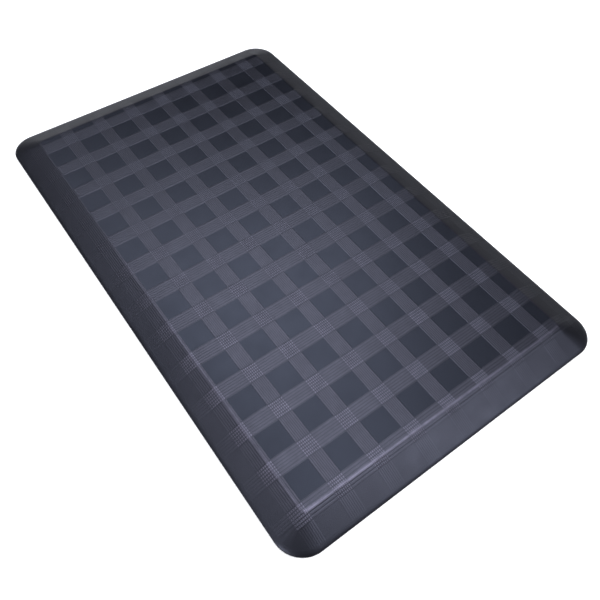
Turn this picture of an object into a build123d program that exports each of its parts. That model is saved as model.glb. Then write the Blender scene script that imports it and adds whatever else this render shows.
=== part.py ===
"""Anti fatigue floor mat: a laminated, moulded foam pad with bevelled edges on all four sides.

The mat lies flat. X runs across its short side, Y along its long side and Z up from the floor.
The origin is on the floor under the middle of the mat. All sizes are in millimetres.

From the floor up, the plies are:
    base_sheet     non-slip sheet with a grid of shallow grip channels in its underside
    base_adhesive  hot-melt film that holds the base sheet to everything above it
    top_skin       embossed wear skin over the top and bevels, turned under the rim as a flange
    skin_scrim     knitted backing that is fused to the inside of the skin
    foam_core      moulded foam pad that fills the skin and reaches down between the flanges
"""
from build123d import *

import math
import os

# ---- overall size --------------------------------------------------------------------------
mat_width = 508.0            # X, short side
mat_length = 813.0           # Y, long side
mat_height = 20.0            # floor to standing surface

# ---- edge shape ----------------------------------------------------------------------------
bevel_width = 42.0           # rim to the crest where the flat top starts, measured level
rim_height = 3.6             # floor to the foot of the bevel
corner_radius = 38.0         # plan radius of the rim at each corner
crest_corner_radius = 6.0    # plan radius of the crest at each corner
crest_fillet = 14.0          # rounding from the bevel into the flat top
fold_radius = 0.6            # rounding where the skin turns under the rim

# ---- wear skin and its backing ---------------------------------------------------------------
skin_thickness = 1.0
scrim_thickness = 0.4
flange_width = 14.0          # how far the skin turns in under the rim

# ---- base sheet and film ---------------------------------------------------------------------
base_thickness = 1.5
base_inset = 3.0             # the base sheet stops this far inside the rim
film_thickness = 0.2
film_margin = 1.5            # the film stops this far inside the edge of the base sheet

# ---- grip channels in the underside ------------------------------------------------------------
channel_width = 3.0
channel_depth = 0.6
channel_pitch = 50.0
channel_margin = 22.0        # the channels stop this far inside the edge of the base sheet

# ---- heights and slope that follow from the sizes above ------------------------------------------
film_bottom = base_thickness
film_top = film_bottom + film_thickness
flange_top = film_top + skin_thickness
rebate_top = flange_top + scrim_thickness
bevel_slope = math.atan2(mat_height - rim_height, bevel_width)


def outline(inset, height):
    """Rounded rectangle that follows the rim, moved in by inset, at a height above the floor."""
    shrink_per_mm = (corner_radius - crest_corner_radius) / bevel_width
    radius = corner_radius - shrink_per_mm * inset
    shape = RectangleRounded(mat_width - 2 * inset, mat_length - 2 * inset, radius)
    return Pos(0, 0, height) * shape


def slab(inset, bottom, top):
    """Flat plate that follows the rim at an inset, between two heights."""
    return extrude(outline(inset, bottom), amount=top - bottom)


def mat_envelope(depth, bottom):
    """Solid body of the mat, lying depth inside its outer surface, from a bottom height up.

    The top, the bevels and the rim all move in by the same depth, so two envelopes of different
    depth are one ply apart everywhere.
    """
    top = mat_height - depth
    crest_inset = bevel_width + depth * math.tan(bevel_slope / 2)
    bevel_foot = rim_height - depth * math.tan(math.pi / 4 - bevel_slope / 2)
    crest = outline(crest_inset, top)
    if bottom < bevel_foot:
        rim = slab(depth, bottom, bevel_foot)
        body = rim + loft([outline(depth, bevel_foot), crest], ruled=True)
    else:
        foot_inset = depth + (bottom - bevel_foot) / math.tan(bevel_slope)
        body = loft([outline(foot_inset, bottom), crest], ruled=True)
    crest_edges = body.faces().sort_by(Axis.Z)[-1].edges()
    return fillet(crest_edges, crest_fillet - depth)


def make_top_skin(outer, cavity, opening):
    """Embossed wear skin: top, bevels, rim and a flange turned in under the foam."""
    fold_edges = outer.faces().sort_by(Axis.Z)[0].edges()
    return fillet(fold_edges, fold_radius) - cavity - opening


def make_skin_scrim(cavity, core_space, opening):
    """Knitted backing on the inside of the skin, ending with it at the edge of the flange."""
    return cavity - core_space - opening


def make_foam_core(core_space, opening):
    """Moulded foam that fills the skin and reaches down to the film inside the flange."""
    return core_space + opening


def make_base_adhesive():
    """Film between the base sheet and the flange and foam above it."""
    return slab(base_inset + film_margin, film_bottom, film_top)


def channel_offsets(span):
    """Centred, evenly spaced channel positions that fit along a span."""
    count = int(span // channel_pitch) + 1
    first = -channel_pitch * (count - 1) / 2
    return [first + channel_pitch * index for index in range(count)]


def make_base_sheet():
    """Non-slip sheet with two crossing sets of shallow channels in its underside."""
    sheet = slab(base_inset, 0, film_bottom)
    reach = 2 * (base_inset + channel_margin)
    span_x = mat_width - reach
    span_y = mat_length - reach
    channels = Sketch()
    for x in channel_offsets(span_x - channel_width):
        channels += Pos(x, 0) * Rectangle(channel_width, span_y)
    for y in channel_offsets(span_y - channel_width):
        channels += Pos(0, y) * Rectangle(span_x, channel_width)
    return sheet - extrude(channels, amount=channel_depth)


def build():
    """Every ply of the mat by its name."""
    outer = mat_envelope(0, film_top)
    cavity = mat_envelope(skin_thickness, flange_top)
    core_space = mat_envelope(skin_thickness + scrim_thickness, rebate_top)
    opening = slab(flange_width, film_top, rebate_top)
    return {
        "top_skin": make_top_skin(outer, cavity, opening),
        "skin_scrim": make_skin_scrim(cavity, core_space, opening),
        "foam_core": make_foam_core(core_space, opening),
        "base_adhesive": make_base_adhesive(),
        "base_sheet": make_base_sheet(),
    }


os.makedirs("parts", exist_ok=True)
for name, shape in build().items():
    shape.label = name
    export_step(shape, f"parts/{name}.step")
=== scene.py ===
"""Looks of the anti fatigue mat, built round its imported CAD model.

The wear skin and the base sheet are remade as detailed meshes: the skin carries its embossed plaid
as real relief, and the base sheet its grip points. The hidden plies keep their CAD shapes and get
materials. Shapes are worked out in millimetres, along the CAD model's own X, Y and Z.
"""
import math

import bmesh
import bpy
import numpy as np
from mathutils import Euler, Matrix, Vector


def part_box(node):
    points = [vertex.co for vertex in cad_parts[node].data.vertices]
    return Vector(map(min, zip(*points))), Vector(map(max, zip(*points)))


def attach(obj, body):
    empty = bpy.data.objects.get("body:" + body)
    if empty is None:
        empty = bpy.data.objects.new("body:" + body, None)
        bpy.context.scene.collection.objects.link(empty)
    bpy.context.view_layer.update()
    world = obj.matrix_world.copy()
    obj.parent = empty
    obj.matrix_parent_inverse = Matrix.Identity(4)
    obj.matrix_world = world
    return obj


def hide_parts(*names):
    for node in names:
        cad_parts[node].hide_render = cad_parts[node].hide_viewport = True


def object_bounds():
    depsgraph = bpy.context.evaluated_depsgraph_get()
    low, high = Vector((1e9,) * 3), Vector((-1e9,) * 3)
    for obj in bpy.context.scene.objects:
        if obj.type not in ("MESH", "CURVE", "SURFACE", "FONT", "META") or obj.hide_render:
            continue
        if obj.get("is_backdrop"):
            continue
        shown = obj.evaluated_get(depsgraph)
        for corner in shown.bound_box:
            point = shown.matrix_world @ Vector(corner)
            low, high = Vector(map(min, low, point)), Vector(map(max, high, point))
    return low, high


MM = 0.001
QUARTER_TURN = math.radians(90)

# ---- edge shape, as in the CAD model -----------------------------------------------------------
BEVEL_WIDTH = 42.0           # rim to crest, measured level
RIM_HEIGHT = 3.6             # floor to the foot of the bevel
CORNER_RADIUS = 38.0
CREST_CORNER_RADIUS = 6.0
CREST_FILLET = 14.0
SKIN_THICKNESS = 1.0
FLANGE_WIDTH = 14.0
FOLD_RADIUS = 0.6
FOOT_ROUNDING = 6.0          # level width of the rounding from the bevel into the upright rim
FOOT_STEPS = 6
FOLD_STEPS = 3
CREST_STEPS = 4
CORNER_STEPS = 12            # straight lines that round each corner
RADIUS_SHRINK = (CORNER_RADIUS - CREST_CORNER_RADIUS) / BEVEL_WIDTH

# ---- embossed plaid ----------------------------------------------------------------------------
PLAID_TURN = 0.0083          # the plaid is turned a little against the mat's edges, in radians
RIB_SHOULDERS = (0.3, 0.7)   # where a rib's top starts and ends, as a share of its pitch
STEP_HALF = 0.25             # half the width of the step between a square and a stripe
SQUARE_DEPTH = 0.12          # the smooth squares lie this far below the stripes
SQUARE_FADE = 6.0            # the squares' edges fade out over this width below the crest
RIB_SLOPE = 0.125            # rise of the ribs' sides where one stripe runs alone
KNOT_HEIGHT = 0.25           # raised knots where two stripes cross
RIM_RELIEF = 0.3             # share of the ribs' height that is left at the rim
CREST_BOOST = 0.9            # how much taller lone ribs stand where they run over the crest
CREST_BAND = 11.0            # how far to each side of the crest they stand taller

# ---- painted sheen: paler tops of the ribs and the crest ----------------------------------------
# Painted highlight along the crest and painted sheen on the knots' and ribs' tops, not real wear. It is
# strongest at the front left, where the mat is seen shining most.
CREST_HIGHLIGHT_BAND = 3.0             # the painted highlight along the crest reaches this far to each side
SIDE_HIGHLIGHT = 0.4              # painted highlight of the crests at the sides, against the front crest
KNOT_SHEEN = 0.6              # painted sheen on the knots' tops
RIB_SHEEN = 0.15              # painted sheen on the lone ribs' tops
MIDDLE_SHEEN_FRONT = 0.5      # painted sheen at the mat's middle, as a share of that at its front end
MIDDLE_SHEEN_LEFT = 0.65      # the same, as a share of that at its left side
LOSS_TO_RIGHT = 0.5          # how much of it is lost from the middle to the right side
LEAST_SHEEN = 0.1             # the share that is left at the back and the right, at the least

# ---- mesh grids and texture map -----------------------------------------------------------------
GRID_MARGIN = 6.0            # the untrimmed grids reach this far past the mat
CUT_SNAP = 0.02              # a cut that passes this close to a vertex goes through it
SLIVER = 0.01                # edges shorter than this are merged away
PROBE = 0.02                 # half the distance over which a slope is measured
PROBE_INSIDE = 0.2           # share of the way from a face's corner to its middle where it is measured
SHARP_TURN = math.radians(35)   # bands of the rim that meet at more than this keep a sharp edge
HIDDEN_SHARE = 0.15          # scale of the skin's inner faces in its texture map
PATTERN_SHARE = 0.96         # share of the texture map for the unrolled skin; the rest is its inside
PATTERN_REACH = 1.01         # the texture map reaches this share of the unrolled skin's half sizes
INSIDE_SHARE = 0.9           # share of its own strip that the inside of the skin fills

# ---- underside, with the CAD model's grip channels -----------------------------------------------
BASE_INSET = 3.0
BASE_EDGE = 0.3              # small chamfer round the sheet's lower edge
CHANNEL_WIDTH = 3.0
CHANNEL_DEPTH = 0.6
CHANNEL_PITCH = 50.0
CHANNEL_MARGIN = 22.0
CHANNEL_DRAFT = 0.4          # level width of a channel's sloping side
GRIP_POINTS = 6              # rows of raised points between two channels
GRIP_RELIEF = 0.35           # height of the raised points

# ---- colours and gloss ---------------------------------------------------------------------------
SQUARE_COLOUR = (0.0028, 0.003, 0.0042)
# the furrows' dark is painted shade and the ribs' paler tops painted highlight; the rib colour also gives
# a random haze and the rim's mottling
FURROW_COLOUR = (0.0022, 0.0022, 0.003)
RIB_COLOUR = (0.0065, 0.0065, 0.0078)
# painted sheen and highlight: the pale colour laid on the crest and on the knots' and ribs' tops
PAINTED_SHEEN_COLOUR = (0.21, 0.19, 0.225)
RIM_COLOUR = (0.012, 0.012, 0.013)
RUBBER_COLOUR = (0.018, 0.018, 0.019)
DUST_COLOUR = (0.045, 0.044, 0.043)
KNIT_GAP_COLOUR = (0.13, 0.13, 0.14)
KNIT_LOOP_COLOUR = (0.34, 0.34, 0.35)
KNIT_DULL_COLOUR = (0.2, 0.2, 0.2)
FOAM_CELL_COLOUR = (0.02, 0.02, 0.022)
FOAM_WALL_COLOUR = (0.075, 0.075, 0.08)
FILM_DARK_COLOUR = (0.46, 0.43, 0.36)
FILM_PALE_COLOUR = (0.62, 0.60, 0.54)
SQUARE_TINT = (0.78, 0.85, 1.0)
STRIPE_TINT = (0.88, 0.89, 1.0)
SQUARE_GLOSS = 0.38
STRIPE_GLOSS = 0.56
KNOT_GLOSS = 0.75
SQUARE_ROUGHNESS = 0.39
STRIPE_ROUGHNESS = 0.42
KNOT_ROUGHNESS = 0.40
FURROW_ROUGHNESS = 0.6       # between the knots
SMEAR = 0.025                # the skin's roughness varies by this much either way
GRAIN_CELL = 0.9             # leather grain, in millimetres

# ---- studio --------------------------------------------------------------------------------------
LIGHT_COLOUR = (0.78, 0.82, 1.0)
SOFTBOXES = (                # name, place and side lengths in metres, power in watts
    ("key", (0.9, -1.4, 1.5), (0.6, 0.6), 13.0),
    ("front_left", (-1.6, -0.6, 0.9), (0.4, 0.4), 10.0),
    ("left", (-1.0, 0.2, 1.4), (0.4, 0.4), 4.0),
    ("back", (-0.5, 1.4, 1.5), (1.5, 0.3), 9.5),
    ("right", (0.9, 0.0, 1.5), (0.4, 0.4), 1.5),
    ("overhead", (0.3, 0.5, 1.2), (0.9, 0.8), 12.0),
    ("near", (0.0, -0.4, 0.7), (0.3, 0.6), 3.5),
)
FLOOR_COLOUR = (0.96, 0.94, 0.84)
FLOOR_GLOW = 0.5             # seen only, so that the floor looks white
FLOOR_REACH = 6.0
SURROUND = 0.03              # light from all round
BACKDROP = 0.58              # brightness of the surround where the camera sees it
CAMERA_PLACE = (-0.3473, -0.5081, 0.7195)    # in metres
CAMERA_ANGLES = (34.445, -0.817, -35.542)    # in degrees
CAMERA_LENS = 37.4
CAMERA_SENSOR = 36.0
CAMERA_SHIFT = 0.0197


class Plaid:
    """One family of parallel stripes: where they are and how their ribs run."""

    def __init__(self, first, pitch, width, ribs, rib_pitch):
        self.first = first
        self.pitch = pitch
        self.width = width
        self.ribs = ribs
        self.rib_pitch = rib_pitch
        self.rib_height = RIB_SLOPE * RIB_SHOULDERS[0] * rib_pitch

    def from_stripe(self, across):
        """Distance of each point from the middle line of its nearest stripe."""
        turns = (across - self.first) / self.pitch
        return (turns - np.round(turns)) * self.pitch

    def mask(self, across):
        """1 on a stripe, 0 on the squares between, with a short step in between."""
        beyond = np.abs(self.from_stripe(across)) - self.width / 2
        return np.clip(0.5 - beyond / (2 * STEP_HALF), 0, 1)

    def rib(self, across):
        """Rib profile, from 0 in a furrow to 1 on top of a rib, and 0 outside the ribs."""
        along = self.from_stripe(across) / self.rib_pitch + self.ribs / 2
        share = along - np.floor(along)
        low, high = RIB_SHOULDERS
        profile = np.minimum(share / low, (1 - share) / (1 - high))
        return np.where((along > 0) & (along < self.ribs), np.clip(profile, 0, 1), 0)

    def stripe_lines(self, middle):
        """Mesh lines of one stripe: the steps at its edges, its ribs' shoulders and furrows."""
        start = middle - self.ribs * self.rib_pitch / 2
        lines = []
        for sign in (-1, 1):
            edge = middle + sign * self.width / 2
            lines += [edge - STEP_HALF, edge + STEP_HALF]
        for rib in range(self.ribs):
            lines += [start + (rib + share) * self.rib_pitch for share in RIB_SHOULDERS]
        lines += [start + furrow * self.rib_pitch for furrow in range(1, self.ribs)]
        plain_margin = self.width / 2 - (middle - start)
        if plain_margin > 2 * STEP_HALF:
            lines += [start, 2 * middle - start]
        return lines

    def mesh_lines(self, reach):
        """Positions of all mesh lines across this family, from -reach to reach."""
        lowest = math.floor((-reach - self.first) / self.pitch)
        highest = math.ceil((reach - self.first) / self.pitch)
        lines = []
        for number in range(lowest, highest + 1):
            lines += self.stripe_lines(self.first + number * self.pitch)
        lines = np.sort(np.array(lines))
        return lines[(lines > -reach) & (lines < reach)]


LONG_STRIPES = Plaid(first=-162.99, pitch=57.31, width=21.3, ribs=8, rib_pitch=2.66)
CROSS_STRIPES = Plaid(first=-362.8, pitch=58.85, width=23.95, ribs=6, rib_pitch=3.65)


# ---- the mat's smooth outer surface --------------------------------------------------------------
class Mat:
    """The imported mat's sizes in millimetres and the smooth surface that they give."""

    def __init__(self):
        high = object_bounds()[1]
        self.half = np.array(high[:2]) / MM
        self.height = high[2] / MM
        self.skin_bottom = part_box("top_skin")[0][2] / MM
        self.base_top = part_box("base_sheet")[1][2] / MM
        self.slope = math.atan2(self.height - RIM_HEIGHT, BEVEL_WIDTH)
        self.flat_from = BEVEL_WIDTH + CREST_FILLET * math.tan(self.slope / 2)
        self.fillet_width = CREST_FILLET * math.sin(self.slope)

    def outline(self, inset):
        """Corner radius and corner centre of the rounded outline at an inset from the rim."""
        radius = CORNER_RADIUS - RADIUS_SHRINK * inset
        return radius, self.half - inset - radius

    def inset(self, x, y):
        """How far inside the rim each point lies, along the rounded outlines of the bevel."""
        from_side = self.half[0] - np.abs(x)
        from_end = self.half[1] - np.abs(y)
        drift = 1 - RADIUS_SHRINK
        a = CORNER_RADIUS - from_side
        b = CORNER_RADIUS - from_end
        square = 2 * drift ** 2 - RADIUS_SHRINK ** 2
        linear = drift * (a + b) + RADIUS_SHRINK * CORNER_RADIUS
        constant = a * a + b * b - CORNER_RADIUS ** 2
        root = (np.sqrt(np.maximum(linear ** 2 - square * constant, 0)) - linear) / square
        in_corner = (a + drift * root > 0) & (b + drift * root > 0)
        return np.where(in_corner, root, np.minimum(from_side, from_end))

    def smooth_height(self, x, y):
        """Height of the surface before embossing: the bevel, the rounded crest, the flat top."""
        before_flat = self.flat_from - self.inset(x, y)
        in_fillet = np.clip(before_flat, 0, self.fillet_width)
        rounded = self.height - CREST_FILLET + np.sqrt(CREST_FILLET ** 2 - in_fillet ** 2)
        straight = RIM_HEIGHT + (self.flat_from - before_flat) * math.tan(self.slope)
        return np.where(before_flat > self.fillet_width, straight, rounded)

    def crest_insets(self):
        """Insets of the mesh lines that round the crest."""
        shares = np.linspace(0, 1, CREST_STEPS + 1)
        return self.flat_from - CREST_FILLET * np.sin(self.slope * shares)

    def relief(self, x, y):
        """Height of the embossing over the smooth surface, which the knots' tops just reach."""
        stripe, _, _, lone_height, knot = plaid_parts(x, y)
        inset = self.inset(x, y)
        near_crest = np.clip(1 - np.abs(inset - BEVEL_WIDTH) / CREST_BAND, 0, 1)
        ribs = lone_height * (1 + CREST_BOOST * near_crest) + KNOT_HEIGHT * knot
        square_share = np.clip(1 - (BEVEL_WIDTH - inset) / SQUARE_FADE, 0, 1)
        squares = SQUARE_DEPTH * (1 - stripe) * square_share
        return ribs * self.rib_share(inset) - squares - KNOT_HEIGHT

    def rib_share(self, inset):
        """Share of the ribs' full height: all of it on top, less and less down the bevel."""
        return RIM_RELIEF + (1 - RIM_RELIEF) * np.clip(inset / BEVEL_WIDTH, 0, 1)

    def skin_height(self, x, y):
        """Height of the embossed upper surface."""
        return self.smooth_height(x, y) + self.relief(x, y)

    def skin_normals(self, x, y):
        """Normals of the embossed upper surface, from the slope of its height."""
        rise_x = self.skin_height(x + PROBE, y) - self.skin_height(x - PROBE, y)
        rise_y = self.skin_height(x, y + PROBE) - self.skin_height(x, y - PROBE)
        normals = np.column_stack([-rise_x, -rise_y, np.full_like(x, 2 * PROBE)])
        return normals / np.linalg.norm(normals, axis=1, keepdims=True)


# ---- relief --------------------------------------------------------------------------------------
def plaid_place(x, y):
    """Position of a point in the plaid's own directions, which are turned a little."""
    cos, sin = math.cos(PLAID_TURN), math.sin(PLAID_TURN)
    return x * cos + y * sin, y * cos - x * sin


def mat_place(p, q):
    """Position on the mat of a point in the plaid's own directions."""
    cos, sin = math.cos(PLAID_TURN), math.sin(PLAID_TURN)
    return p * cos - q * sin, p * sin + q * cos


def plaid_parts(x, y):
    """Stripe and crossing masks, lone ribs' shares and heights and knots' shares at each point."""
    p, q = plaid_place(x, y)
    long_mask, cross_mask = LONG_STRIPES.mask(p), CROSS_STRIPES.mask(q)
    long_rib, cross_rib = LONG_STRIPES.rib(p), CROSS_STRIPES.rib(q)
    lone_long, lone_cross = long_rib * (1 - cross_mask), cross_rib * (1 - long_mask)
    stripe, lone_rib = np.maximum(long_mask, cross_mask), np.maximum(lone_long, lone_cross)
    lone_height = np.maximum(LONG_STRIPES.rib_height * lone_long, CROSS_STRIPES.rib_height * lone_cross)
    crossing = long_mask * cross_mask
    knot = long_rib * cross_rib * crossing
    return stripe, crossing, lone_rib, lone_height, knot


# ---- mesh tools ----------------------------------------------------------------------------------
def grid_mesh(across, along, place):
    """A bmesh of the quads between two families of lines; place gives the corners' X and Y."""
    p, q = np.meshgrid(across, along, indexing="ij")
    x, y = place(p.ravel(), q.ravel())
    index = np.arange(p.size).reshape(p.shape)
    quads = np.stack([index[:-1, :-1], index[1:, :-1], index[1:, 1:], index[:-1, 1:]], axis=-1)
    mesh = bpy.data.meshes.new("grid")
    points = np.column_stack([x, y, np.zeros_like(x)])
    mesh.from_pydata(points.tolist(), [], quads.reshape(-1, 4).tolist())
    grid = bmesh.new()
    grid.from_mesh(mesh)
    bpy.data.meshes.remove(mesh)
    return grid


def cut(grid, point, direction, geometry=None, trim=False):
    """Cuts the mesh along an upright plane and, with trim, drops what lies beyond it."""
    if geometry is None:
        geometry = grid.verts[:] + grid.edges[:] + grid.faces[:]
    result = bmesh.ops.bisect_plane(
        grid,
        geom=geometry,
        dist=CUT_SNAP,
        plane_co=(*point, 0),
        plane_no=(*direction, 0),
        clear_outer=trim,
    )
    return [item for item in result["geom"] if item.is_valid]


def cut_all_round(grid, mat, inset, trim=False):
    """Cuts the mesh along the outline's four straight sides at an inset."""
    half_x, half_y = mat.half - inset
    for sign in (1, -1):
        cut(grid, (sign * half_x, 0), (sign, 0), trim=trim)
        cut(grid, (0, sign * half_y), (0, sign), trim=trim)


def corner_geometry(grid, signs, centre):
    """The faces round one corner, with their edges and vertices."""
    faces = []
    for face in grid.faces:
        spot = face.verts[0].co
        if all(sign * place > start - 2 * GRID_MARGIN for sign, place, start in zip(signs, spot, centre)):
            faces.append(face)
    edges = dict.fromkeys(edge for face in faces for edge in face.edges)
    verts = dict.fromkeys(vert for face in faces for vert in face.verts)
    return list(verts) + list(edges) + faces


def round_corner(grid, mat, signs, inset):
    """Trims one corner to its arc at an inset and returns the geometry near it."""
    radius, centre = mat.outline(inset)
    local = corner_geometry(grid, signs, centre)
    for step in range(CORNER_STEPS):
        turn = QUARTER_TURN * (step + 0.5) / CORNER_STEPS
        away = np.array([math.cos(turn), math.sin(turn)])
        touch = signs * (centre + radius * away)
        local = cut(grid, touch, signs * away, local, trim=True)
    return local


def crease_corner(grid, mat, signs, inset, local):
    """Cuts one corner along the straight lines that its bevel is made of."""
    radius, centre = mat.outline(inset)
    crest_radius, crest_centre = mat.outline(BEVEL_WIDTH)
    for step in range(CORNER_STEPS + 1):
        turn = QUARTER_TURN * step / CORNER_STEPS
        away = np.array([math.cos(turn), math.sin(turn)])
        rim = signs * (centre + radius * away)
        crest = signs * (crest_centre + crest_radius * away)
        across = (crest[1] - rim[1], rim[0] - crest[0])
        local = cut(grid, rim, across, [item for item in local if item.is_valid])


def corner_signs():
    """The direction of each of the four corners from the mat's middle."""
    return [np.array([sign_x, sign_y]) for sign_x in (1, -1) for sign_y in (1, -1)]


def edge_loop(grid):
    """Indices of the outline's vertices, in order round the mesh."""
    following = {}
    for face in grid.faces:
        for loop in face.loops:
            if len(loop.edge.link_faces) == 1:
                following[loop.vert.index] = loop.link_loop_next.vert.index
    start = next(iter(following))
    order = [start]
    while following[order[-1]] != start:
        order.append(following[order[-1]])
    return order


def plan_of(grid):
    """The trimmed grid's points in plan, its faces and its outline, and frees the grid."""
    bmesh.ops.dissolve_degenerate(grid, dist=SLIVER, edges=grid.edges[:])
    grid.verts.index_update()
    plan = np.array([vert.co[:2] for vert in grid.verts])
    faces = [[vert.index for vert in face.verts] for face in grid.faces]
    loop = edge_loop(grid)
    grid.free()
    return plan, faces, loop


def outline_ring(mat, start, start_inset, inset):
    """Where the points of one outline go at another inset, and their outward directions."""
    centre = mat.outline(start_inset)[1]
    radius, new_centre = mat.outline(inset)
    signs = np.where(start < 0, -1, 1)
    size = np.abs(start)
    beyond = size - centre
    in_corner = (beyond > 0).all(axis=1)[:, None]
    on_side = (mat.half - size)[:, 0:1] < (mat.half - size)[:, 1:2]
    turn = np.arctan2(beyond[:, 1], beyond[:, 0])
    round_away = np.column_stack([np.cos(turn), np.sin(turn)])
    away = np.where(in_corner, round_away, np.where(on_side, (1.0, 0.0), (0.0, 1.0)))
    moved = size * new_centre / centre
    on_edge = np.column_stack([on_side[:, 0], ~on_side[:, 0]])
    straight = np.where(on_edge, mat.half - inset, moved)
    return signs * np.where(in_corner, new_centre + radius * away, straight), signs * away


def band_faces(inner, outer):
    """Quads between two rings of vertices, whose fronts face away from the mesh inside them."""
    turned_inner, turned_outer = np.roll(inner, -1), np.roll(outer, -1)
    return np.column_stack([turned_inner, inner, outer, turned_outer]).tolist()


def mesh_object(name, points, faces):
    """A smooth-shaded mesh object from points in millimetres."""
    mesh = bpy.data.meshes.new(name)
    mesh.from_pydata((points * MM).tolist(), [], faces)
    mesh.shade_smooth()
    piece = bpy.data.objects.new(name, mesh)
    bpy.context.scene.collection.objects.link(piece)
    return piece


def add_values(piece, name, values):
    """Stores one number per vertex for the materials to read."""
    layer = piece.data.attributes.new(name, "FLOAT", "POINT")
    layer.data.foreach_set("value", values.astype(np.float32))


# ---- wear skin -----------------------------------------------------------------------------------
def skin_plan(mat):
    """The plaid's own mesh lines, trimmed to the mat's outline and cut along the rounded crest."""
    reach = mat.half + GRID_MARGIN
    grid = grid_mesh(LONG_STRIPES.mesh_lines(reach[0]), CROSS_STRIPES.mesh_lines(reach[1]), mat_place)
    cut_all_round(grid, mat, FOOT_ROUNDING, trim=True)
    for inset in mat.crest_insets():
        cut_all_round(grid, mat, inset)
    for signs in corner_signs():
        local = round_corner(grid, mat, signs, FOOT_ROUNDING)
        crease_corner(grid, mat, signs, FOOT_ROUNDING, local)
    return plan_of(grid)


def skin_section(mat):
    """The skin's section from the bevel's foot round the rim, under as the flange and back inside.

    Each row is the inset, the height and how much of the top's relief is left there.
    """
    start = np.array([FOOT_ROUNDING, RIM_HEIGHT + FOOT_ROUNDING * math.tan(mat.slope)])
    turning = np.array([0.0, RIM_HEIGHT])
    end = np.array([0.0, mat.skin_bottom + FOLD_RADIUS])
    rows = []
    for share in np.linspace(0, 1, FOOT_STEPS + 1):
        place = (1 - share) ** 2 * start + 2 * share * (1 - share) * turning + share ** 2 * end
        rows.append((*place, (1 - share) ** 2))
    for turn in QUARTER_TURN * np.linspace(0, 1, FOLD_STEPS + 1)[1:]:
        inset = FOLD_RADIUS * (1 - math.cos(turn))
        rows.append((inset, mat.skin_bottom + FOLD_RADIUS * (1 - math.sin(turn)), 0.0))
    flange_top = mat.skin_bottom + SKIN_THICKNESS
    inner_drop = SKIN_THICKNESS / math.cos(mat.slope)
    inner_foot = RIM_HEIGHT + SKIN_THICKNESS * math.tan(mat.slope) - inner_drop
    inner_crest = (mat.height - SKIN_THICKNESS + inner_drop - RIM_HEIGHT) / math.tan(mat.slope)
    rows += [(FLANGE_WIDTH, mat.skin_bottom, 0.0), (FLANGE_WIDTH, flange_top, 0.0)]
    rows += [(SKIN_THICKNESS, flange_top, 0.0), (SKIN_THICKNESS, inner_foot, 0.0)]
    rows.append((inner_crest, mat.height - SKIN_THICKNESS, 0.0))
    return np.array(rows)


def section_normals(section):
    """Outward and upward parts of the normal at each end of each band of the section."""
    steps = np.diff(section[:, :2], axis=0) * (-1, 1)
    steps /= np.linalg.norm(steps, axis=1, keepdims=True)
    normals = np.column_stack([-steps[:, 1], steps[:, 0]])
    starts, ends = normals.copy(), normals.copy()
    for band in range(1, len(normals)):
        if normals[band - 1] @ normals[band] > math.cos(SHARP_TURN):
            shared = normals[band - 1] + normals[band]
            starts[band] = ends[band - 1] = shared / np.linalg.norm(shared)
    return starts, ends


def top_corner_normals(mat, plan, faces):
    """Normals at every corner of the top's faces, measured a little inside each face."""
    sizes = np.array([len(face) for face in faces])
    corners = np.concatenate(faces)
    owners = np.repeat(np.arange(len(faces)), sizes)
    middles = np.column_stack([np.bincount(owners, plan[corners, axis]) / sizes for axis in (0, 1)])
    probed = plan[corners] * (1 - PROBE_INSIDE) + middles[owners] * PROBE_INSIDE
    return mat.skin_normals(*probed.T)


def make_embossed_skin(mat):
    """The wear skin as a closed shell: embossed top, rounded rim, flange and smooth inside."""
    plan, faces, loop = skin_plan(mat)
    section = skin_section(mat)
    starts, ends = section_normals(section)
    outline, outline_relief = plan[loop], mat.relief(*plan[loop].T)
    plan[loop] = outline_ring(mat, outline, FOOT_ROUNDING, FOOT_ROUNDING)[0]
    points = [np.column_stack([plan, mat.skin_height(*plan.T)])]
    normals = [top_corner_normals(mat, plan, faces)]
    flat = [plan]
    pressed_from = len(faces) + FOOT_STEPS * len(loop)
    ring = np.array(loop)
    unrolled = 0.0
    for band in range(len(starts)):
        inset, level, fade = section[band + 1]
        spots, away = outline_ring(mat, outline, FOOT_ROUNDING, inset)
        shown = 1 if band < FOOT_STEPS + FOLD_STEPS + 1 else HIDDEN_SHARE
        unrolled += shown * np.linalg.norm(section[band + 1, :2] - section[band, :2])
        points.append(np.column_stack([spots, level + fade * outline_relief]))
        flat.append(plan[loop] + unrolled * away)
        outer = len(plan) + band * len(loop) + np.arange(len(loop))
        faces += band_faces(ring, outer)
        start = np.column_stack([away * starts[band, 0], np.full(len(loop), starts[band, 1])])
        end = np.column_stack([away * ends[band, 0], np.full(len(loop), ends[band, 1])])
        corners = np.stack([np.roll(start, -1, axis=0), start, end, np.roll(end, -1, axis=0)], axis=1)
        normals.append(corners.reshape(-1, 3))
        ring = outer
    faces.append(ring[::-1].tolist())
    normals.append(np.tile((0.0, 0.0, -1.0), (len(ring), 1)))
    points = np.concatenate(points)
    skin = mesh_object("embossed_skin", points, faces)
    skin.data.normals_split_custom_set(np.concatenate(normals).tolist())
    paint_zones(skin, mat, points, pressed_from)
    add_flat_pattern(skin, np.concatenate(flat))
    return skin


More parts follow.
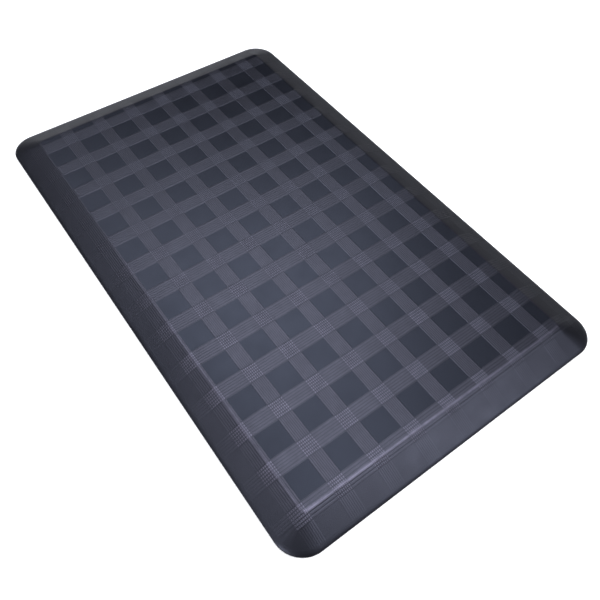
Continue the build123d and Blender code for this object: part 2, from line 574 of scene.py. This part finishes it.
def paint_zones(skin, mat, points, pressed_from):
    """Gives each face its zone's material and stores the heights and the painted sheen that the materials
    read.
    """
    x, y = points[:, 0], points[:, 1]
    stripe, crossing, lone_rib, _, knot = plaid_parts(x, y)
    inset = mat.inset(x, y)
    share = mat.rib_share(inset)
    on_side = mat.half[0] - np.abs(x) < mat.half[1] - np.abs(y)
    # painted highlight along the crest and painted sheen on the knots' and ribs' tops, fading from the
    # front left to the back and right
    near_crest = np.clip(1 - np.abs(inset - BEVEL_WIDTH) / CREST_HIGHLIGHT_BAND, 0, 1)
    crest = near_crest * np.where(on_side, SIDE_HIGHLIGHT, 1)
    to_front = np.clip(MIDDLE_SHEEN_FRONT - y / mat.half[1], LEAST_SHEEN, 1)
    to_left = np.clip(MIDDLE_SHEEN_LEFT - LOSS_TO_RIGHT * x / mat.half[0], LEAST_SHEEN, 1)
    embossed = np.maximum(KNOT_SHEEN * knot, RIB_SHEEN * lone_rib) * share ** 3
    painted_sheen = np.maximum(crest, embossed) * to_front * to_left
    zones = ("stripe", "square", "knot", "rim")
    for face in skin.data.polygons:
        vertices = face.vertices
        zone = "stripe"
        if face.index >= pressed_from:
            zone = "rim"
        elif min(inset[vertex] for vertex in vertices) > BEVEL_WIDTH - STEP_HALF:
            if min(crossing[vertex] for vertex in vertices) > 0.5:
                zone = "knot"
            elif max(stripe[vertex] for vertex in vertices) < 0.5:
                zone = "square"
        face.material_index = zones.index(zone)
    add_values(skin, "rib", lone_rib * share)
    add_values(skin, "knot", knot * share)
    add_values(skin, "painted_sheen", painted_sheen)


def add_flat_pattern(piece, flat):
    """Lays the skin out flat as a texture map, its rim and flange unrolled outwards.

    The last face, the hidden inside of the top, gets a strip of its own past the pattern.
    """
    reach = np.abs(flat).max(axis=0) * PATTERN_REACH
    corners = np.empty(len(piece.data.loops), dtype=np.int32)
    piece.data.loops.foreach_get("vertex_index", corners)
    places = 0.5 + flat[corners] / (2 * reach)
    places[:, 1] *= PATTERN_SHARE
    inside = piece.data.polygons[-1].loop_indices
    places[inside, 1] = 1 - (1 - PATTERN_SHARE) * (1 - places[inside, 1]) * INSIDE_SHARE
    layer = piece.data.uv_layers.new(name="OFBake")
    layer.data.foreach_set("uv", places.ravel())


# ---- base sheet ----------------------------------------------------------------------------------
def channel_places(half):
    """Middle lines of the grip channels across one direction."""
    count = math.floor((half - CHANNEL_MARGIN - CHANNEL_WIDTH / 2) / CHANNEL_PITCH + 0.5)
    return (np.arange(-count, count) + 0.5) * CHANNEL_PITCH


def grip_lines(half):
    """Mesh lines across the underside: the channels' edges and the rows of grip points."""
    channels = channel_places(half)
    last = half - CHANNEL_MARGIN
    border = (half + GRID_MARGIN, last, last - CHANNEL_DRAFT)
    lines = [sign * place for sign in (-1, 1) for place in border]
    for channel in channels:
        floor_half = CHANNEL_WIDTH / 2 - CHANNEL_DRAFT
        lines += [channel - floor_half, channel + floor_half]
    for channel in channels[:-1]:
        pad = np.linspace(CHANNEL_WIDTH / 2, CHANNEL_PITCH - CHANNEL_WIDTH / 2, 2 * GRIP_POINTS + 1)
        lines += (channel + pad).tolist()
    lines += [channels[0] - CHANNEL_WIDTH / 2, channels[-1] + CHANNEL_WIDTH / 2]
    return np.sort(np.array(lines))


def channel_shares(place, half):
    """For each point across one direction: channel depth, channel reach and grip point shares."""
    into = place / CHANNEL_PITCH - 0.5
    from_channel = np.abs(into - np.round(into)) * CHANNEL_PITCH
    last = half - CHANNEL_MARGIN
    reach = np.clip((last - np.abs(place)) / CHANNEL_DRAFT, 0, 1)
    channel = np.clip((CHANNEL_WIDTH / 2 - from_channel) / CHANNEL_DRAFT, 0, 1) * (np.abs(place) < last)
    pad_width = CHANNEL_PITCH - CHANNEL_WIDTH
    rows = ((into - np.floor(into)) * CHANNEL_PITCH - CHANNEL_WIDTH / 2) / pad_width * GRIP_POINTS
    point = 1 - np.abs(2 * (rows - np.floor(rows)) - 1)
    inside = np.abs(place) < channel_places(half)[-1] - CHANNEL_WIDTH / 2 - PROBE
    return channel, reach, np.clip(point, 0, 1), inside


def underside_height(x, y, half):
    """Height of the base sheet's underside over the floor: channels, grip points, level border."""
    channel_x, reach_x, point_x, inside_x = channel_shares(x, half[0])
    channel_y, reach_y, point_y, inside_y = channel_shares(y, half[1])
    channel = CHANNEL_DEPTH * np.maximum(channel_x * reach_y, channel_y * reach_x)
    field = GRIP_RELIEF * (1 - np.minimum(point_x, point_y)) * (inside_x & inside_y)
    return np.maximum(channel, field)


def split_along_ridges(faces, heights):
    """Splits each quad along the diagonal whose ends differ most in height, and turns it over."""
    split = []
    for face in faces:
        if len(face) != 4:
            split.append(face[::-1])
            continue
        a, b, c, d = face
        if abs(heights[a] - heights[c]) >= abs(heights[b] - heights[d]):
            split += [[c, b, a], [d, c, a]]
        else:
            split += [[d, b, a], [d, c, b]]
    return split


def make_base_sheet(mat):
    """The non-slip base sheet: grip points and channels below, a chamfered edge, a plain top."""
    half = mat.half - BASE_INSET
    grid = grid_mesh(grip_lines(half[0]), grip_lines(half[1]), lambda p, q: (p, q))
    inset = BASE_INSET + BASE_EDGE
    cut_all_round(grid, mat, inset, trim=True)
    for signs in corner_signs():
        round_corner(grid, mat, signs, inset)
    plan, faces, loop = plan_of(grid)
    outline = plan[loop]
    plan[loop] = outline_ring(mat, outline, inset, inset)[0]
    heights = underside_height(*plan.T, half)
    faces = split_along_ridges(faces, heights)
    points = [np.column_stack([plan, heights])]
    ring = np.array(loop)
    edge = outline_ring(mat, outline, inset, BASE_INSET)[0]
    for band, level in enumerate((BASE_EDGE, mat.base_top)):
        points.append(np.column_stack([edge, np.full(len(loop), level)]))
        outer = len(plan) + band * len(loop) + np.arange(len(loop))
        faces += [face[::-1] for face in band_faces(ring, outer)]
        ring = outer
    faces.append(ring.tolist())
    sheet = mesh_object("grip_base", np.concatenate(points), faces)
    sheet.data.shade_flat()
    return sheet


# ---- materials -----------------------------------------------------------------------------------
class Nodes:
    """Short ways to add the nodes that these materials share."""

    def __init__(self, name):
        self.material = bpy.data.materials.new(name)
        self.material.use_nodes = True
        self.tree = self.material.node_tree
        self.shader = self.tree.nodes["Principled BSDF"]
        self.place = self.tree.nodes.new("ShaderNodeTexCoord").outputs["Object"]

    def link(self, source, target):
        """Links an output to an input, or to the shader's input of that name."""
        if isinstance(target, str):
            target = self.shader.inputs[target]
        self.tree.links.new(source, target)

    def set(self, **values):
        """Sets constants on the shader's own sockets, by their names with _ for a space."""
        for name, value in values.items():
            self.shader.inputs[name.replace("_", " ")].default_value = value

    def noise(self, cell, detail=2.0):
        """Smooth noise whose features are about one cell wide, in millimetres."""
        node = self.tree.nodes.new("ShaderNodeTexNoise")
        node.inputs["Scale"].default_value = 1 / (cell * MM)
        node.inputs["Detail"].default_value = detail
        self.link(self.place, node.inputs["Vector"])
        return node.outputs["Fac"]

    def cells(self, cell):
        """Cell pattern with cells about one cell wide, in millimetres."""
        node = self.tree.nodes.new("ShaderNodeTexVoronoi")
        node.inputs["Scale"].default_value = 1 / (cell * MM)
        self.link(self.place, node.inputs["Vector"])
        return node.outputs["Distance"]

    def waves(self, spacing, direction):
        """Parallel rows, spacing millimetres apart, counted along X or Y."""
        node = self.tree.nodes.new("ShaderNodeTexWave")
        node.bands_direction = direction
        node.inputs["Scale"].default_value = math.pi / (10 * spacing * MM)
        self.link(self.place, node.inputs["Vector"])
        return node.outputs["Fac"]

    def value(self, name):
        """A number stored at the mesh's vertices."""
        node = self.tree.nodes.new("ShaderNodeAttribute")
        node.attribute_name = name
        return node.outputs["Fac"]

    def spread(self, source, span, onto):
        """Maps a value from its span onto another range, held at the ends."""
        node = self.tree.nodes.new("ShaderNodeMapRange")
        for name, value in zip(("From Min", "From Max", "To Min", "To Max"), (*span, *onto)):
            node.inputs[name].default_value = value
        self.link(source, node.inputs["Value"])
        return node.outputs["Result"]

    def math(self, operation, first, second):
        """One arithmetic step on two outputs."""
        node = self.tree.nodes.new("ShaderNodeMath")
        node.operation = operation
        self.link(first, node.inputs[0])
        self.link(second, node.inputs[1])
        return node.outputs[0]

    def mix(self, factor, first, second):
        """Mixes two colours, each a colour or an output."""
        node = self.tree.nodes.new("ShaderNodeMix")
        node.data_type = "RGBA"
        self.link(factor, node.inputs[0])
        for socket, item in ((node.inputs[6], first), (node.inputs[7], second)):
            if isinstance(item, tuple):
                socket.default_value = (*item, 1)
            else:
                self.link(item, socket)
        return node.outputs[2]

    def bump(self, height, depth, before=None):
        """Bumps of a depth in millimetres, on top of any bumps before."""
        node = self.tree.nodes.new("ShaderNodeBump")
        node.inputs["Distance"].default_value = depth * MM
        self.link(height, node.inputs["Height"])
        if before is not None:
            self.link(before, node.inputs["Normal"])
        return node.outputs["Normal"]


def vinyl_material(name, colour, roughness, gloss, tint, furrow_roughness=None):
    """Embossed vinyl leather: near black with a cool sheen, and painted highlight and sheen that make the
    tops paler.

    colour is what the furrows and squares have, the furrows' dark being painted shade; ribs, knots and
    the crest are painted paler, as painted highlight and sheen.
    """
    nodes = Nodes(name)
    sheen_breakup = nodes.spread(nodes.noise(cell=11, detail=5), span=(0.3, 0.7), onto=(0.55, 1.0))
    # painted highlight on the ribs' tops and painted shade in the furrows
    body = nodes.mix(nodes.value("rib"), colour, RIB_COLOUR)
    # painted sheen and highlight: paler on the crest and on the knots' and ribs' tops, broken up by noise
    body = nodes.mix(nodes.math("MULTIPLY", nodes.value("painted_sheen"), sheen_breakup), body, PAINTED_SHEEN_COLOUR)
    haze = nodes.spread(nodes.noise(cell=70, detail=3), span=(0.4, 0.7), onto=(0.0, 0.25))
    nodes.link(nodes.mix(haze, body, RIB_COLOUR), "Base Color")
    smear = nodes.spread(nodes.noise(cell=24, detail=4), span=(0.3, 0.7), onto=(-SMEAR, SMEAR))
    glossier_share = nodes.math("MAXIMUM", nodes.value("knot"), nodes.value("painted_sheen"))
    rough = nodes.spread(glossier_share, span=(0, 1), onto=(furrow_roughness or roughness, roughness))
    nodes.link(nodes.math("ADD", rough, smear), "Roughness")
    grain = nodes.bump(nodes.cells(GRAIN_CELL), depth=0.04)
    nodes.link(nodes.bump(nodes.noise(cell=0.35), depth=0.01, before=grain), "Normal")
    nodes.set(Specular_IOR_Level=gloss, Specular_Tint=(*tint, 1))
    return nodes.material


def rim_material():
    """The skin's pressed rim and flange: matte and darker than the top."""
    nodes = Nodes("pressed_rim")
    nodes.link(nodes.mix(nodes.noise(cell=9, detail=3), RIM_COLOUR, RIB_COLOUR), "Base Color")
    nodes.link(nodes.bump(nodes.cells(GRAIN_CELL), depth=0.03), "Normal")
    nodes.set(Roughness=0.6, Specular_IOR_Level=0.3)
    return nodes.material


def skin_materials():
    """The skin's materials, in the order of its zones."""
    return (
        vinyl_material("stripe_vinyl", FURROW_COLOUR, STRIPE_ROUGHNESS, STRIPE_GLOSS, STRIPE_TINT),
        vinyl_material("square_vinyl", SQUARE_COLOUR, SQUARE_ROUGHNESS, SQUARE_GLOSS, SQUARE_TINT),
        vinyl_material(
            "knot_vinyl", FURROW_COLOUR, KNOT_ROUGHNESS, KNOT_GLOSS, STRIPE_TINT, FURROW_ROUGHNESS
        ),
        rim_material(),
    )


def rubber_material():
    """Base sheet: dull black rubber with a fine matt grain and dusty patches."""
    nodes = Nodes("grip_rubber")
    dust = nodes.spread(nodes.noise(cell=6, detail=5), span=(0.45, 0.75), onto=(0.0, 1.0))
    nodes.link(nodes.mix(dust, RUBBER_COLOUR, DUST_COLOUR), "Base Color")
    rough = nodes.spread(nodes.noise(cell=15, detail=3), span=(0.3, 0.7), onto=(0.62, 0.78))
    nodes.link(rough, "Roughness")
    nodes.link(nodes.bump(nodes.cells(0.7), depth=0.04), "Normal")
    nodes.set(Specular_IOR_Level=0.35)
    return nodes.material


def knit_material():
    """Backing of the skin: a pale grey knit of fine loops in rows and columns."""
    nodes = Nodes("knit")
    columns, rows = nodes.waves(spacing=1.1, direction="X"), nodes.waves(spacing=0.8, direction="Y")
    loops = nodes.math("MULTIPLY", columns, rows)
    shade = nodes.mix(loops, KNIT_GAP_COLOUR, KNIT_LOOP_COLOUR)
    dull = nodes.spread(nodes.noise(cell=8, detail=4), span=(0.3, 0.8), onto=(0.0, 0.4))
    nodes.link(nodes.mix(dull, shade, KNIT_DULL_COLOUR), "Base Color")
    nodes.link(nodes.bump(loops, depth=0.15), "Normal")
    nodes.set(Roughness=0.92, Specular_IOR_Level=0.2, Sheen_Weight=0.2)
    return nodes.material


def foam_material():
    """Core: charcoal foam with open cells of mixed sizes."""
    nodes = Nodes("foam")
    coarse, fine = nodes.cells(1.4), nodes.cells(0.6)
    wall = nodes.spread(nodes.math("MINIMUM", coarse, fine), span=(0.1, 0.6), onto=(0.0, 1.0))
    nodes.link(nodes.mix(wall, FOAM_CELL_COLOUR, FOAM_WALL_COLOUR), "Base Color")
    nodes.link(nodes.bump(fine, depth=0.12, before=nodes.bump(coarse, depth=0.25)), "Normal")
    nodes.set(Roughness=0.9, Specular_IOR_Level=0.25)
    return nodes.material


def film_material():
    """Bond film: a cloudy hot-melt layer with a waxy shine and small bubbles."""
    nodes = Nodes("bond_film")
    cloud = nodes.spread(nodes.noise(cell=12, detail=4), span=(0.3, 0.7), onto=(0.0, 1.0))
    nodes.link(nodes.mix(cloud, FILM_DARK_COLOUR, FILM_PALE_COLOUR), "Base Color")
    nodes.link(nodes.spread(cloud, span=(0, 1), onto=(0.35, 0.55)), "Roughness")
    nodes.link(nodes.bump(nodes.cells(4.0), depth=0.05), "Normal")
    nodes.set(Subsurface_Weight=0.1, Subsurface_Scale=2 * MM)
    return nodes.material


def give(piece, *materials):
    """Makes these the piece's materials; on a CAD node the first goes into every slot."""
    for slot in piece.material_slots:
        slot.material = materials[0]
    if not piece.material_slots:
        for material in materials:
            piece.data.materials.append(material)


# ---- studio --------------------------------------------------------------------------------------
def add_softbox(name, place, size, power):
    """A soft rectangular light that faces the mat's middle and stays out of the picture."""
    lamp = bpy.data.lights.new(name, "AREA")
    lamp.shape = "RECTANGLE"
    lamp.size, lamp.size_y = size
    lamp.energy = power
    lamp.color = LIGHT_COLOUR
    holder = bpy.data.objects.new(name, lamp)
    holder.location = place
    holder.rotation_euler = (-Vector(place)).to_track_quat("-Z", "Y").to_euler()
    holder.visible_camera = False
    bpy.context.scene.collection.objects.link(holder)


def link_camera_strength(tree, strength, light, seen):
    """Makes a strength one number for the light it sheds and another where it is seen directly."""
    path = tree.nodes.new("ShaderNodeLightPath")
    choice = tree.nodes.new("ShaderNodeMapRange")
    choice.inputs["To Min"].default_value = light
    choice.inputs["To Max"].default_value = seen
    tree.links.new(path.outputs["Is Camera Ray"], choice.inputs["Value"])
    tree.links.new(choice.outputs["Result"], strength)


def build_floor():
    """A plain pale floor under the mat."""
    mesh = bpy.data.meshes.new("floor")
    corners = [(-1, -1), (1, -1), (1, 1), (-1, 1)]
    mesh.from_pydata([(FLOOR_REACH * x, FLOOR_REACH * y, 0) for x, y in corners], [], [(0, 1, 2, 3)])
    floor = bpy.data.objects.new("floor", mesh)
    bpy.context.scene.collection.objects.link(floor)
    nodes = Nodes("floor")
    nodes.set(Base_Color=(*FLOOR_COLOUR, 1), Roughness=1.0, Specular_IOR_Level=0.0)
    nodes.set(Emission_Color=(1, 1, 1, 1))
    link_camera_strength(nodes.tree, nodes.shader.inputs["Emission Strength"], 0, FLOOR_GLOW)
    mesh.materials.append(nodes.material)
    floor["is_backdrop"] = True


def build_studio():
    """The floor, the softboxes round the mat and a weak even surround."""
    build_floor()
    for name, place, size, power in SOFTBOXES:
        add_softbox(name, place, size, power)
    world = bpy.data.worlds.new("surround")
    world.use_nodes = True
    background = world.node_tree.nodes["Background"]
    background.inputs["Color"].default_value = (1, 1, 1, 1)
    link_camera_strength(world.node_tree, background.inputs["Strength"], SURROUND, BACKDROP)
    bpy.context.scene.world = world
    bpy.context.scene.view_settings.view_transform = "Standard"


def add_camera():
    """Camera above the front left corner, looking down at the mat's middle."""
    data = bpy.data.cameras.new("camera")
    data.lens = CAMERA_LENS
    data.sensor_width = CAMERA_SENSOR
    data.shift_x = CAMERA_SHIFT
    camera = bpy.data.objects.new("camera", data)
    camera.location = CAMERA_PLACE
    camera.rotation_euler = Euler([math.radians(angle) for angle in CAMERA_ANGLES])
    bpy.context.scene.collection.objects.link(camera)
    bpy.context.scene.camera = camera


# ---- the scene -----------------------------------------------------------------------------------
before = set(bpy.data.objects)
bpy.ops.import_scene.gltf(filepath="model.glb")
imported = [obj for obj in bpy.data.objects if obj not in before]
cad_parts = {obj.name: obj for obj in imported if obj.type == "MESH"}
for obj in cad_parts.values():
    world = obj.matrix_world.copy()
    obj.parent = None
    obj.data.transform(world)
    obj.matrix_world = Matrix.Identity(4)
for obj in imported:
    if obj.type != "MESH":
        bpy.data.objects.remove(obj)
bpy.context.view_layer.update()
mat = Mat()

skin = make_embossed_skin(mat)
give(skin, *skin_materials())
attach(skin, "root")
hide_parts("top_skin")

base = make_base_sheet(mat)
give(base, rubber_material())
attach(base, "root")
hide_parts("base_sheet")

give(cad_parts["skin_scrim"], knit_material())
give(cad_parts["foam_core"], foam_material())
give(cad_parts["base_adhesive"], film_material())

build_studio()
add_camera()
